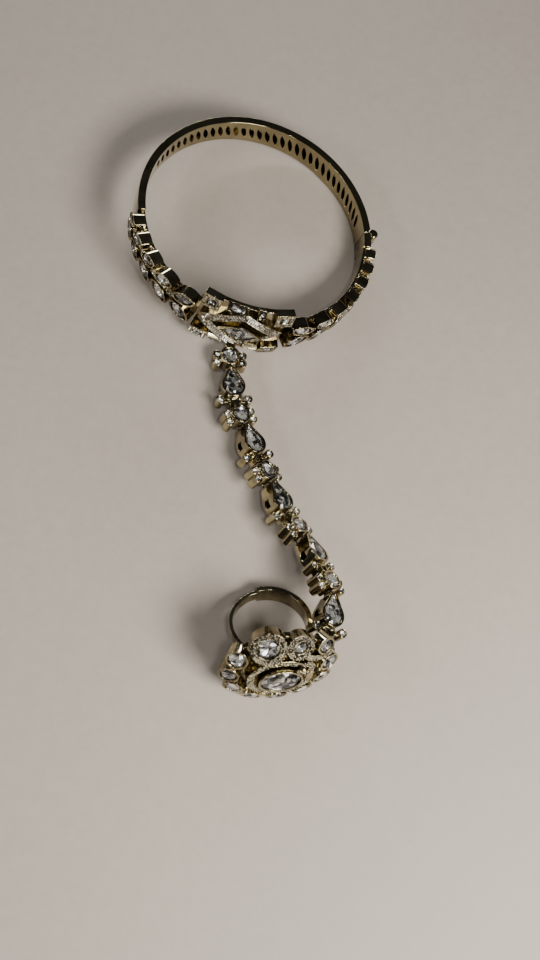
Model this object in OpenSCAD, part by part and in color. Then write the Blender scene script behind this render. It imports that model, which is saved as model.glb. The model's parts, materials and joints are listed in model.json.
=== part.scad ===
// Hand chain bracelet: a bangle that opens on a hinge, a chain of stone-set
// links and a large finger ring, as they lie together on a table.
// The origin is the middle of the wrist bore, and the table is a level plane
// below it. +Z is up and the chain runs towards -Y.

/* [Bangle] */
// Diameter of the wrist opening
bore_d = 57; // [54:0.5:62]
// Height of the plain back band
band_h = 7; // [6:0.25:8]
// Radial thickness of the back band
band_t = 1.9; // [1.8:0.05:2.4]
// Sheet thickness of the hollow back band
band_wall = 0.5; // [0.4:0.05:0.6]
// Radial thickness of the strip behind the ornament
strip_t = 1.1; // [0.9:0.05:1.4]
// Height of the strip behind the ornament
strip_h = 5.2; // [4.5:0.1:6]
// Distance between two slots of the back band
slot_pitch = 2.1; // [1.9:0.1:3]
// Length of one slot
slot_len = 4.5; // [3.5:0.1:4.8]
// Width of one slot
slot_w = 1.25; // [0.8:0.05:1.3]
// Slant of the slots from upright, degrees
slot_slant = 20; // [0:1:25]
// Slope of the lying bangle towards the hinge, as a ratio
side_slope = 0.135; // [0.1:0.005:0.16]

/* [Hinge and clasp] */
// Direction of the hinge, seen from the wrist opening, degrees
hinge_az = 10; // [6:0.5:12]
// Radius of the hinge barrels
barrel_r = 1.25; // [1.2:0.05:1.4]
// Diameter of the hinge pin
pin_d = 1.1; // [0.9:0.05:1.2]
// Height of the middle barrel
knuckle_h = 2.2; // [1.8:0.1:2.8]
// Distance of the pin outside the band
pin_out = 0.7; // [0.6:0.05:0.9]
// Gap where the two halves of the bangle meet
seam_gap = 0.2; // [0.15:0.05:0.3]
// Length of the clasp tongue
tongue_len = 3.5; // [2.5:0.1:4]
// Height of the clasp tongue
tongue_h = 3; // [2:0.1:3.5]
// Thickness of the clasp tongue
tongue_t = 0.5; // [0.4:0.05:0.6]

/* [Leaves] */
// Length of the largest leaf setting
leaf_len = 7.2; // [6.6:0.1:7.6]
// Width of the largest leaf setting
leaf_w = 4.2; // [3.6:0.1:4.4]
// Depth of a leaf setting, out from the strip
leaf_depth = 2.9; // [2.4:0.1:3.2]
// Height of the leaf rows above and below the middle of the strip
leaf_row = 2.75; // [2.5:0.05:2.9]
// Slant of the leaves, degrees
leaf_slant = 28; // [20:1:34]
// Angle along the band between the first two leaves, degrees
leaf_pitch = 12.6; // [12.2:0.1:13]
// Radius of a small round setting between the leaves
bud_r = 1.15; // [1:0.05:1.25]

/* [Motif] */
// Width of the raised lozenge
lozenge_w = 20.4; // [19:0.2:21]
// Height of the raised lozenge
lozenge_h = 13.2; // [12:0.2:14]
// Width of the lozenge rib
lozenge_rib = 1.5; // [1.3:0.05:1.7]
// Width of the sunk channel inside the rib
channel_w = 1.1; // [0.8:0.05:1.3]
// Height of the whole motif
motif_h = 19.6; // [19:0.1:21]
// Width of a corner box
corner_w = 4.6; // [4:0.1:5]
// Height of a corner box
corner_h = 4.1; // [3.6:0.1:4.4]
// Width of the baguette box
baguette_w = 4.9; // [4:0.1:5.2]
// Height of the baguette box
baguette_h = 2.8; // [2.4:0.1:3]

/* [Chain] */
// Radius of the round link
round_r = 2.5; // [2.4:0.05:2.8]
// Radius of the broad end of the pear link
pear_r = 2.95; // [2.7:0.05:3.2]
// Radius of the narrow end of the pear link
pear_tip_r = 1.15; // [1.1:0.05:1.4]
// Distance between the centres of the two ends of the pear
pear_d = 4.1; // [3.9:0.1:4.8]
// Height of the link settings
link_h = 4.4; // [4:0.1:4.8]
// Wall of the link settings
link_wall = 0.55; // [0.5:0.05:0.65]
// Length of the tail behind the pear
tail_len = 1.8; // [1.75:0.05:2.4]
// Sideways distance of the bead settings from the middle of the pear link
bead_out = 3.5; // [3.3:0.1:3.9]
// Radius of a bead setting
bead_r = 1.1; // [1:0.05:1.2]
// Gap between neighbouring links
link_gap = 0.4; // [0.3:0.05:0.4]
// Mean radius of a jump ring
jump_r = 1.2; // [1.15:0.05:1.25]
// Wire thickness of a jump ring
jump_wire = 0.5; // [0.4:0.05:0.5]

/* [Finger ring] */
// Diameter of the finger opening
finger_d = 17; // [16:0.25:19]
// Width of the shank
shank_w = 4; // [3.4:0.1:4.4]
// Thickness of the broad part of the shank
shank_t = 1.6; // [1.4:0.05:1.8]
// Thickness of the slim part of the shank
shank_slim_t = 0.8; // [0.7:0.05:1]
// Width of the ring head
head_w = 27.4; // [26.4:0.2:28.4]
// Height of the ring head
head_h = 24.4; // [23.4:0.2:25.4]
// Height of the dome of the ring head at its middle, from the bore centre
head_top = 14.6; // [14:0.1:15.2]
// Width of the centre stone
centre_w = 9; // [8:0.1:9.6]
// Height of the centre stone
centre_h = 6.4; // [5.6:0.1:6.8]
// Width of the oval pave rib
oval_rib = 1.4; // [1.2:0.05:1.6]

/* [Stones] */
// Gap between a stone and its setting
stone_gap = 0.08; // [0.05:0.01:0.12]
// Wall of the stone settings
setting_wall = 0.45; // [0.4:0.05:0.55]
// Diameter of a pave stone
pave_d = 1.05; // [0.8:0.05:1.1]
// Distance between two pave stones
pave_pitch = 1.36; // [1.25:0.01:1.6]

/* [Hidden] */
$fn = 48;
LEFT_PAIRS = 5;
RIGHT_PAIRS = 7;
LINK_PAIRS = 5;

// How the chain lies: heading from -Y towards +X, climb and roll of each
// link, in degrees, chosen by hand; the climb of the last link is worked out
chain_rows = [
    [8, 4, 2], [15, 4, 6], [26, 4, 17], [32, 4, 25], [28, 3, 29],
    [35, 4, 32], [43, 10, 40], [35, 16, 46], [18, 18, 36], [2, 0, 22],
];

// Ring petals: place from the middle of the head as shares of its half width
// and half height, and radius as a share of the half height
petals = [
    [-0.72, 0.42, 0.21], [-0.83, -0.03, 0.2], [-0.74, -0.46, 0.2], [-0.42, -0.76, 0.2],
    [0.02, -0.83, 0.2], [0.45, -0.72, 0.2], [0.75, -0.4, 0.2], [0.83, 0.06, 0.2],
    [-0.24, 0.74, 0.25], [0.28, 0.7, 0.17], [0.73, 0.54, 0.18],
];
LOBES = [8, 9];

bore_r = bore_d / 2;
band_r = bore_r + band_t;
strip_r = bore_r + strip_t;
clasp_az = 180 - hinge_az;
seam_a = asin(seam_gap / 2 / bore_r);
block_a = 23;
hinge_block_a = 8;
solid_end_a = 9;
skin = 0.01;
far = 200;

// The front's solids start inside the bore, which is then cut through them all
core_r = bore_r - 0.5;

hinge_r = band_r + pin_out;
hinge_xy = hinge_r * [cos(hinge_az), sin(hinge_az)];
clasp_xy = (bore_r + band_t / 2) * [cos(clasp_az), sin(clasp_az)];
tongue_r = norm(clasp_xy - hinge_xy);
tongue_a = atan2(clasp_xy[1] - hinge_xy[1], clasp_xy[0] - hinge_xy[0]);
tongue_gap = 0.15;
barrel_gap = 0.15;
pin_fit = 0.03;
pin_play = 0.07;
ear_top = band_h / 2;
pin_head_h = 0.3;

motif_az = -90;
rib_r = strip_r + 1.3;
channel_r = strip_r + 0.3;
cup_top_r = strip_r + 2.1;
cup_pocket = 1.2;
corner_r = strip_r + 1.6;
corner_depth = 2.2;
corner_pocket = [1.2, 1];
corner_pocket_h = 0.9;
corner_tilt = 10;
corner_in = 1.08;
corner_az = asin((lozenge_w / 2 - corner_in) / corner_r);
corner_row = motif_h / 2 - corner_h / 2;
foot_row = corner_row - 0.75;
baguette_r = strip_r + 0.8;
baguette_tilt = 30;
baguette_depth = 1.2;
baguette_pocket = 0.7;
baguette_row = motif_h / 2 - baguette_h / 2 - 0.1;
lozenge = [lozenge_w / 2, lozenge_h / 2];
backing_r = strip_r + 0.1;
backing_out = 0.9;
backing_in = 0.8;
backing_side = 4;
backing_cut = 1.4;

// The lying bangle touches the table at the lower edge of its back band and
// at its lower right corner box; the slope towards the front follows from that
foot_az = motif_az + corner_az;
foot_out = corner_r - corner_h / 2 * sin(corner_tilt);
foot_x = foot_out * cos(foot_az) - corner_w / 2 * sin(foot_az);
foot_r = -foot_out * sin(foot_az) - corner_w / 2 * cos(foot_az);
foot_h = foot_row + corner_h / 2 * cos(corner_tilt);
foot_drop = foot_h - band_h / 2 + side_slope * foot_x;
spread = foot_r * foot_r - band_r * band_r;
rest = foot_drop * foot_drop - pow(band_r * side_slope, 2);
front_slope = rest / (foot_drop * foot_r + sqrt(pow(foot_drop * foot_r, 2) - spread * rest));
lean = [-atan(front_slope), atan(side_slope * cos(atan(front_slope))), 0];
lift = (band_r * norm([side_slope, front_slope]) + band_h / 2) * cos(lean[0]) * cos(lean[1]);

// Jump rings wrap a level bar in the end wall of each neighbour
bar_z = 1.6;
bar_h = 0.8;
bar_t = 0.6;
ring_room_w = 1.5;
ring_room = jump_r + jump_wire / 2 + 0.15;
plate_z = bar_z + ring_room - 0.05;
plate_t = 0.3;
round_len = 2 * round_r + link_gap;
pear_len = pear_r + pear_d + pear_tip_r + tail_len + link_gap;
pear_x = link_gap / 2 + pear_tip_r + pear_d;
tail_x = pear_x + pear_r;
petal_r = 1.1;
petal_out = round_r + 0.65;
petal_x = link_gap / 2 + round_r + 0.5;
petal_h = 3.5;
bead_x = tail_x + 0.3;
bead_h = 3.3;

tab_w = ring_room_w + 1;
tab_r = strip_r + 2;
tab_h = 2.6;
tab_back = 0.15;
tab_row = (bar_z + 0.1 - lift) / cos(lean[0]) / cos(lean[1]) - front_slope * tab_r;

finger_r = finger_d / 2;
shank_r = finger_r + shank_t;
shank_slim_w = shank_w * 0.6;
step_az = 128;
head_a = head_w / 2;
head_b = head_h / 2;
dome_r = 24;
petal_depth = 3;
petal_pocket = 1.3;
lobe_rim = 1.1;
head_plate_z = finger_r + 0.9;
head_plate_t = 1.2;
finger_room = finger_r + 0.35;
oval_room = [3, 2.8];
oval = [centre_w / 2 + oval_room[0], centre_h / 2 + oval_room[1]];
oval_y = -1.2;
oval_z = head_top - 1.2;
ring_tab = [head_a - 2.6, 3.4, head_plate_z - 2];

function turn_x(p, a) = [p[0], p[1] * cos(a) - p[2] * sin(a), p[1] * sin(a) + p[2] * cos(a)];
function turn_y(p, a) = [p[0] * cos(a) + p[2] * sin(a), p[1], p[2] * cos(a) - p[0] * sin(a)];
function lying(p) = turn_y(turn_x(p, lean[0]), lean[1]);

function row_len(i) = i % 2 == 0 ? round_len : pear_len;
function step(i, climb) = row_len(i) * [
    sin(chain_rows[i][0]) * cos(climb),
    -cos(chain_rows[i][0]) * cos(climb),
    sin(climb),
];
function joint(i) = i == 0
    ? lying([0, -tab_r, tab_row])
    : joint(i - 1) + step(i - 1, climb_of(i - 1));
LAST = 2 * LINK_PAIRS - 1;
function climb_of(i) = i < LAST
    ? chain_rows[i][1]
    : asin((ring_lift - lift + ring_up(ring_tab) - joint(LAST)[2]) / pear_len);

// The ring lies on the lower edge of its head and the back of its shank
function dome_z(p) = head_top - (p[0] * p[0] + p[1] * p[1]) / (2 * dome_r);
function petal_xy(k) = [petals[k][0] * head_a, petals[k][1] * head_b];
function petal_tilt(k) = atan(norm(petal_xy(k)) / dome_r);
function petal_size(k) = petals[k][2] * head_b;
foot_petal = 4;
foot_xy = petal_xy(foot_petal);
foot_y = foot_xy[1] - petal_size(foot_petal) * cos(petal_tilt(foot_petal))
    + petal_depth * sin(petal_tilt(foot_petal));
foot_z = dome_z(foot_xy) - petal_size(foot_petal) * sin(petal_tilt(foot_petal))
    - petal_depth * cos(petal_tilt(foot_petal));
ring_lean = atan((-foot_y - shank_w / 2) / (foot_z + shank_r));
ring_lift = shank_w / 2 * cos(ring_lean) + shank_r * sin(ring_lean);
function ring_up(p) = p[1] * cos(ring_lean) + p[2] * sin(ring_lean);
ring_turn = 15;
ring_tab_xy = [
    ring_tab[0] * cos(ring_turn) - (ring_tab[1] * sin(ring_lean) - ring_tab[2] * cos(ring_lean)) * sin(ring_turn),
    ring_tab[0] * sin(ring_turn) + (ring_tab[1] * sin(ring_lean) - ring_tab[2] * cos(ring_lean)) * cos(ring_turn),
];
chain_end = joint(LAST + 1);

// Outlines of stones, anticlockwise
function oval_pts(a, b, n) = [for (i = [0:n - 1]) [a * cos((i + 0.5) * 360 / n), b * sin((i + 0.5) * 360 / n)]];
function arc_r(len, w) = (len * len + w * w) / (4 * w);
function leaf_pts(len, w, n) = let (r = arc_r(len, w), c = r - w / 2, a = asin(len / 2 / r)) concat(
    [for (i = [0:n - 1]) let (t = -a + 2 * a * i / n) [r * sin(t), c - r * cos(t)]],
    [for (i = [0:n - 1]) let (t = -a + 2 * a * i / n) [-r * sin(t), r * cos(t) - c]]
);
function pear_pts(r, tip, d) = let (a = 90 + asin((r - tip) / d)) concat(
    [for (i = [0:8]) r * [cos(-a + a * i / 4), sin(-a + a * i / 4)]],
    [for (i = [1:3]) let (t = a + (180 - a) * i / 2) [-d + tip * cos(t), tip * sin(t)]]
);
function lozenge_pts(a, b) = [[a, 0], [a / 2, b / 2], [0, b], [-a / 2, b / 2], [-a, 0], [-a / 2, -b / 2], [0, -b], [a / 2, -b / 2]];
function box_pts(a, b) = let (c = min(a, b) / 2) [
    [a, c - b], [a, b - c], [a - c, b], [c - a, b], [-a, b - c], [-a, c - b], [c - a, -b], [a - c, -b],
];
function shrunk(pts, s, z) = [for (p = pts) [p[0] * s, p[1] * s, z]];

// A cut stone: a flat back, a girdle, a crown of facets and a table
module cut_stone(pts, h) {
    n = len(pts);
    rings = [shrunk(pts, 0.9, 0), shrunk(pts, 1, h * 0.45), shrunk(pts, 0.6, h)];
    last = len(rings) - 1;
    polyhedron(
        points = [for (ring = rings) each ring],
        faces = concat(
            [[for (j = [0:n - 1]) j]],
            [for (i = [0:last - 1]) for (j = [0:n - 1])
                [i * n + j, (i + 1) * n + j, (i + 1) * n + (j + 1) % n, i * n + (j + 1) % n]],
            [[for (j = [n - 1:-1:0]) last * n + j]]
        )
    );
}

// A small pave stone: a girdle and a table
module pave_stone() {
    r = pave_d / 2;
    rings = [shrunk(oval_pts(r, r, 8), 1, 0), shrunk(oval_pts(r, r, 8), 0.55, pave_d * 0.4)];
    polyhedron(
        points = concat(rings[0], rings[1]),
        faces = concat(
            [[for (j = [0:7]) j]],
            [for (j = [0:7]) [j, 8 + j, 8 + (j + 1) % 8, (j + 1) % 8]],
            [[for (j = [7:-1:0]) 8 + j]]
        )
    );
}

// Places on the bangle: X along the band, Y up, Z straight out
module on_band(az, h, r) {
    rotate([0, 0, az + 90]) translate([0, -r, h]) rotate([90, 0, 0]) children();
}

module lie() {
    rotate(lean) children();
}

module band_arc(r0, r1, h, a0, a1) {
    rotate([0, 0, a0]) rotate_extrude(angle = a1 - a0) translate([r0, -h / 2]) square([r1 - r0, h]);
}

module leaf(len, w, wall) {
    r = arc_r(len, w);
    intersection() {
        translate([0, r - w / 2]) circle(r = r - wall);
        translate([0, w / 2 - r]) circle(r = r - wall);
    }
}

module pear(r, tip, d) {
    a = 90 + asin((r - tip) / d);
    union() {
        circle(r = r);
        translate([-d, 0]) circle(r = tip);
        polygon([
            r * [cos(a), sin(a)], [-d, 0] + tip * [cos(a), sin(a)],
            [-d, 0] + tip * [cos(a), -sin(a)], r * [cos(a), -sin(a)],
        ]);
    }
}

// Leaf pairs: side -1 is left of the motif and 1 is right of it
function leaf_size(k) = 1 - 0.06 * k;
function leaf_az(side, k) = motif_az + side * (first_leaf_a + leaf_pitch * (k - 0.03 * k * k));
first_leaf_step = 6.45;
first_leaf_a = asin((lozenge_w / 2 + backing_out) / backing_r) + first_leaf_step;
leaf_base_r = strip_r - 0.6;
leaf_top_r = leaf_base_r + leaf_depth;
pocket = 1.35;

module leaf_pair(side, k) {
    for (row = [-1, 1])
        on_band(leaf_az(side, k), row * leaf_row * leaf_size(k), leaf_base_r)
            rotate([0, 0, -side * row * leaf_slant]) children();
}

module leaf_settings(side, pairs) {
    for (k = [0:pairs - 1]) {
        s = leaf_size(k);
        leaf_pair(side, k) difference() {
            linear_extrude(leaf_depth) leaf(leaf_len * s, leaf_w * s, 0);
            translate([0, 0, leaf_depth - pocket]) linear_extrude(pocket + 1)
                leaf(leaf_len * s, leaf_w * s, setting_wall * s);
        }
    }
}

module leaf_stones(side, k) {
    s = leaf_size(k);
    inset = 2 * (setting_wall * s + stone_gap);
    leaf_pair(side, k) translate([0, 0, leaf_depth - pocket + stone_gap])
        cut_stone(leaf_pts((leaf_len * s - 1.75 * inset), leaf_w * s - inset, 6), pocket + 0.15);
}

// Small round settings between two leaf pairs, on the middle line
module bud_places(side, pairs) {
    for (k = [0:pairs - 2])
        on_band((leaf_az(side, k) + leaf_az(side, k + 1)) / 2 + side * 1.2, 0, leaf_base_r)
            scale(leaf_size(k)) children();
}
bud_h = 2.3;

module bud_settings(side, pairs) {
    bud_places(side, pairs) difference() {
        cylinder(r = bud_r, h = bud_h, $fn = 24);
        translate([0, 0, bud_h - 0.8]) cylinder(r = bud_r - 0.3, h = 2, $fn = 24);
    }
}

module bud_stones(side, pairs) {
    bud_places(side, pairs) translate([0, 0, bud_h - 0.8 + stone_gap])
        cut_stone(oval_pts(bud_r - 0.3 - stone_gap, bud_r - 0.3 - stone_gap, 8), 0.9);
}

module lozenge_shape(inset) {
    across = lozenge[0] * lozenge[1] / norm(lozenge);
    k = 1 - inset / across;
    polygon([[lozenge[0] * k, 0], [0, lozenge[1] * k], [-lozenge[0] * k, 0], [0, -lozenge[1] * k]]);
}
cup_inset = lozenge_rib + channel_w;

module motif_prism(r0, r1) {
    on_band(motif_az, 0, r0) linear_extrude(r1 - r0) children();
}

module motif_rib() {
    difference() {
        intersection() {
            cylinder(r = rib_r, h = far, center = true);
            motif_prism(bore_r / 2, rib_r + 2) lozenge_shape(0);
        }
        difference() {
            motif_prism(bore_r / 2 - 1, rib_r + 3) lozenge_shape(lozenge_rib);
            cylinder(r = channel_r, h = far, center = true);
        }
    }
}

module motif_cup() {
    difference() {
        motif_prism(strip_r - 0.4, cup_top_r) lozenge_shape(cup_inset);
        motif_prism(cup_top_r - cup_pocket, cup_top_r + 1) lozenge_shape(cup_inset + setting_wall);
    }
}

module motif_centre_stone() {
    across = lozenge[0] * lozenge[1] / norm(lozenge);
    k = 1 - (cup_inset + setting_wall + stone_gap) / across;
    on_band(motif_az, 0, cup_top_r - cup_pocket + stone_gap)
        cut_stone(lozenge_pts(lozenge[0] * k, lozenge[1] * k), cup_pocket + 0.4);
}

// Thin curved plate that carries the boxes above and below the lozenge
module motif_backing() {
    w = lozenge_w / 2 + backing_out;
    h = motif_h / 2 - backing_in;
    intersection() {
        cylinder(r = backing_r, h = far, center = true);
        motif_prism(bore_r / 2, rib_r + 2)
            polygon([
                [w, -backing_side], [w, backing_side], [w - backing_cut, h], [backing_cut - w, h],
                [-w, backing_side], [-w, -backing_side], [backing_cut - w, -h], [w - backing_cut, -h],
            ]);
    }
}

module corner_places(side, row) {
    on_band(motif_az + side * corner_az, row > 0 ? corner_row : -foot_row, corner_r)
        rotate([-row * corner_tilt, 0, 0]) children();
}

module corner_boxes() {
    for (side = [-1, 1], row = [-1, 1])
        corner_places(side, row) difference() {
            translate([-corner_w / 2, -corner_h / 2, -corner_depth]) cube([corner_w, corner_h, corner_depth]);
            translate([-corner_pocket[0], -corner_pocket[1], -corner_pocket_h]) cube([2 * corner_pocket[0], 2 * corner_pocket[1], 2]);
        }
}

module corner_stones() {
    for (side = [-1, 1], row = [-1, 1])
        corner_places(side, row) translate([0, 0, stone_gap - corner_pocket_h])
            cut_stone(box_pts(corner_pocket[0] - stone_gap, corner_pocket[1] - stone_gap), corner_pocket_h + 0.2);
}

// Boxes beside the middle of the rows: X place, row, width
baguette_boxes = [[-2.6, 1, 1], [-4.4, -1, 0.72], [4.4, -1, 0.72]];
dome_box_x = 2.3;
dome_box_r = baguette_h / 2 + 0.7;

module baguette_places(x, row) {
    on_band(motif_az + asin(x / strip_r), row * baguette_row, baguette_r)
        rotate([-row * baguette_tilt, 0, 0]) children();
}

module baguette_blocks() {
    for (b = baguette_boxes)
        baguette_places(b[0], b[1]) translate([-baguette_w * b[2] / 2, -baguette_h / 2, -baguette_depth])
            cube([baguette_w * b[2], baguette_h, baguette_depth]);
    baguette_places(dome_box_x, 1) translate([0, 0, -baguette_depth])
        linear_extrude(baguette_depth) half_round(0);
}

module baguette_pockets() {
    for (b = baguette_boxes)
        baguette_places(b[0], b[1])
            translate([setting_wall - baguette_w * b[2] / 2, setting_wall - baguette_h / 2, -baguette_pocket])
                cube([baguette_w * b[2] - 2 * setting_wall, baguette_h - 2 * setting_wall, 2]);
    baguette_places(dome_box_x, 1) translate([0, 0, -baguette_pocket])
        linear_extrude(2) half_round(setting_wall);
}

// An outline with one straight side and one round side
module half_round(wall) {
    intersection() {
        circle(r = dome_box_r - wall);
        translate([wall, wall - baguette_h / 2]) square([dome_box_r, baguette_h - 2 * wall]);
    }
}

module baguette_stones() {
    for (b = baguette_boxes)
        baguette_places(b[0], b[1]) translate([0, 0, stone_gap - baguette_pocket])
            cut_stone(box_pts(
                baguette_w * b[2] / 2 - setting_wall - stone_gap,
                baguette_h / 2 - setting_wall - stone_gap), baguette_pocket + 0.1);
    inset = setting_wall + stone_gap;
    baguette_places(dome_box_x, 1) translate([dome_box_r / 2, 0, stone_gap - baguette_pocket])
        cut_stone(oval_pts(dome_box_r / 2 - inset, baguette_h / 2 - inset - 0.1, 10), baguette_pocket + 0.1);
}

// Pave stones along the middle of the lozenge rib
module motif_pave() {
    across = lozenge[0] * lozenge[1] / norm(lozenge);
    k = 1 - lozenge_rib / 2 / across;
    side_len = norm(lozenge) * k;
    count = floor(side_len / pave_pitch);
    color("gainsboro") lie()
        for (sx = [-1, 1], sy = [-1, 1], i = [0:count - 1]) {
            t = (i + 0.75) / (count + 0.25);
            x = sx * lozenge[0] * k * (1 - t);
            on_band(motif_az + asin(x / rib_r), sy * lozenge[1] * k * t, rib_r + 0.1) pave_stone();
        }
}

// A level bar that a jump ring wraps, with room for the ring behind it;
// x runs from the joint into the piece
module ring_cut() {
    difference() {
        translate([-1, -ring_room_w / 2, bar_z - ring_room - skin])
            cube([1 + ring_room, ring_room_w, 2 * ring_room + skin]);
        translate([-2, -ring_room_w, bar_z - bar_h / 2]) cube([2 + link_gap / 2 + bar_t, 2 * ring_room_w, bar_h]);
    }
}

module chain_tab() {
    intersection() {
        on_band(motif_az, tab_row, bore_r / 2)
            translate([-tab_w / 2, -tab_h / 2, 0]) cube([tab_w, tab_h, tab_r - link_gap / 2 - bore_r / 2]);
        difference() {
            cylinder(r = far, h = far, center = true);
            cylinder(r = bore_r, h = far + 2, center = true);
        }
    }
}

module tab_cut() {
    translate([0, -tab_r, tab_row]) rotate([0, 0, 90]) translate([0, 0, -bar_z]) ring_cut();
}

module hinge_at() {
    translate([hinge_xy[0], hinge_xy[1], 0]) children();
}

module front_frame() {
    start = clasp_az + seam_a;
    end = 360 + hinge_az - seam_a;
    color("darkgoldenrod") lie() difference() {
        union() {
            band_arc(core_r, strip_r, strip_h, start + 1, end - 1);
            band_arc(core_r, band_r, band_h, start, start + block_a);
            band_arc(core_r, band_r, band_h, end - hinge_block_a, end);
            for (s = [-1, 1])
                hinge_at() translate([0, 0, s > 0 ? knuckle_h / 2 + barrel_gap : -ear_top])
                    cylinder(r = barrel_r, h = ear_top - knuckle_h / 2 - barrel_gap);
            leaf_settings(-1, LEFT_PAIRS);
            leaf_settings(1, RIGHT_PAIRS);
            bud_settings(-1, LEFT_PAIRS);
            bud_settings(1, RIGHT_PAIRS);
            motif_backing();
            motif_rib();
            motif_cup();
            corner_boxes();
            baguette_blocks();
            chain_tab();
        }
        baguette_pockets();
        cylinder(r = bore_r, h = far, center = true);
        tab_cut();
        hinge_at() cylinder(r = barrel_r + barrel_gap, h = knuckle_h + 2 * barrel_gap, center = true);
        hinge_at() cylinder(d = pin_d + 2 * pin_fit, h = far, center = true);
        tongue(tongue_gap);
    }
}

// The clasp tongue turns about the hinge, so it slides along its own arc
module tongue(gap) {
    a = 180 / PI * (tongue_len + gap) / tongue_r;
    root = gap == 0 ? 180 / PI * 1 / tongue_r : 1;
    hinge_at() rotate([0, 0, tongue_a - root]) rotate_extrude(angle = a + root, $fn = 96)
        translate([tongue_r - tongue_t / 2 - gap, -tongue_h / 2 - gap])
            square([tongue_t + 2 * gap, tongue_h + 2 * gap]);
}

module back_slots() {
    a0 = hinge_az + solid_end_a;
    span = clasp_az - solid_end_a - a0;
    count = floor(span / 180 * PI * bore_r / slot_pitch);
    for (i = [0:count - 1])
        on_band(a0 + span * (i + 0.5) / count, 0, bore_r - 1)
            rotate([0, 0, 90 - slot_slant]) linear_extrude(1 + band_wall + 0.2) leaf(slot_len, slot_w, 0);
}

module back_band() {
    color("goldenrod") lie() difference() {
        union() {
            difference() {
                band_arc(bore_r, band_r, band_h, hinge_az + seam_a, clasp_az - seam_a);
                band_arc(bore_r + band_wall, band_r - band_wall, band_h - 2 * band_wall,
                    hinge_az + solid_end_a, clasp_az - solid_end_a);
            }
            hinge_at() cylinder(r = barrel_r, h = knuckle_h, center = true);
            tongue(0);
        }
        back_slots();
        cylinder(r = bore_r, h = far, center = true);
        for (s = [-1, 1])
            hinge_at() translate([0, 0, s > 0 ? knuckle_h / 2 : -far])
                cylinder(r = barrel_r + barrel_gap, h = far - (s > 0 ? 0 : knuckle_h / 2));
        hinge_at() cylinder(d = pin_d + 2 * pin_play, h = far, center = true);
    }
}

module hinge_pin() {
    color("gold") lie() hinge_at() {
        translate([0, 0, -ear_top]) cylinder(d = pin_d, h = 2 * ear_top + skin);
        translate([0, 0, ear_top + skin]) cylinder(r = barrel_r * 0.8, h = pin_head_h);
    }
}

// Places along the chain: X along the link, Z out of its face
module on_chain(i, turn, climb, roll) {
    translate(joint(i)) rotate([0, 0, turn - 90]) rotate([0, -climb, 0]) rotate([-roll, 0, 0]) children();
}

module at_link(i) {
    on_chain(i, chain_rows[i][0], climb_of(i), chain_rows[i][2]) translate([0, 0, -bar_z]) children();
}

module stone_pocket() {
    translate([0, 0, plate_z + plate_t]) linear_extrude(link_h) children();
}

module link_hollow() {
    translate([0, 0, -1]) linear_extrude(1 + plate_z) children();
}

module round_link(i) {
    x = link_gap / 2 + round_r;
    color("darkgoldenrod") at_link(i) difference() {
        union() {
            translate([x, 0, 0]) cylinder(r = round_r, h = link_h);
            for (s = [-1, 1], k = [-1, 1])
                translate([petal_x + k * (petal_r - 0.05), s * petal_out, 0]) cylinder(r = petal_r, h = petal_h);
        }
        translate([x, 0, 0]) link_hollow() circle(r = round_r - link_wall);
        translate([x, 0, 0]) stone_pocket() circle(r = round_r - link_wall);
        for (s = [-1, 1], k = [-1, 1])
            translate([petal_x + k * (petal_r - 0.05), s * petal_out, petal_h - 0.9])
                cylinder(r = petal_r - 0.3, h = 2);
        ring_cut();
        translate([round_len, 0, 0]) rotate([0, 0, 180]) ring_cut();
    }
}

module pear_link(i) {
    color("goldenrod") at_link(i) difference() {
        union() {
            translate([pear_x, 0, 0]) linear_extrude(link_h) pear(pear_r, pear_tip_r, pear_d);
            translate([tail_x - 0.9, -tab_w / 2, 0]) cube([tail_len + 0.9, tab_w, plate_z]);
            translate([bead_x - 0.45, -bead_out, 0.5]) cube([0.9, 2 * bead_out, 1.6]);
            for (s = [-1, 1]) translate([bead_x, s * bead_out, 0]) cylinder(r = bead_r, h = bead_h);
        }
        translate([pear_x, 0, 0]) link_hollow() pear(pear_r - link_wall, pear_tip_r - link_wall, pear_d);
        translate([pear_x, 0, 0]) stone_pocket() pear(pear_r - link_wall, pear_tip_r - link_wall, pear_d);
        for (s = [-1, 1]) translate([bead_x, s * bead_out, bead_h - 0.9]) cylinder(r = bead_r - 0.3, h = 2);
        translate([pear_x - 1.6, -2 * pear_r, 0.9]) cube([2, 4 * pear_r, 1.4]);
        ring_cut();
        translate([pear_len, 0, 0]) rotate([0, 0, 180]) ring_cut();
    }
}

stone_z = plate_z + plate_t + stone_gap;
stone_h = link_h - stone_z + 0.35;

module round_stone(i) {
    r = round_r - link_wall - stone_gap;
    color("lightsteelblue") at_link(i) translate([link_gap / 2 + round_r, 0, stone_z])
        cut_stone(oval_pts(r, r, 12), stone_h);
}

module pear_stone(i) {
    inset = link_wall + stone_gap;
    color("lightsteelblue") at_link(i) translate([pear_x, 0, stone_z])
        cut_stone(pear_pts(pear_r - inset, pear_tip_r - inset, pear_d), stone_h);
}

module link_side_stones() {
    r = petal_r - 0.3 - stone_gap;
    b = bead_r - 0.3 - stone_gap;
    color("lightsteelblue") for (i = [0:LAST]) at_link(i)
        if (i % 2 == 0)
            for (s = [-1, 1], k = [-1, 1])
                translate([petal_x + k * (petal_r - 0.05), s * petal_out, petal_h - 0.9 + stone_gap])
                    cut_stone(oval_pts(r, r, 8), 1);
        else
            for (s = [-1, 1]) translate([bead_x, s * bead_out, bead_h - 0.9 + stone_gap])
                cut_stone(oval_pts(b, b, 8), 1);
}

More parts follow.
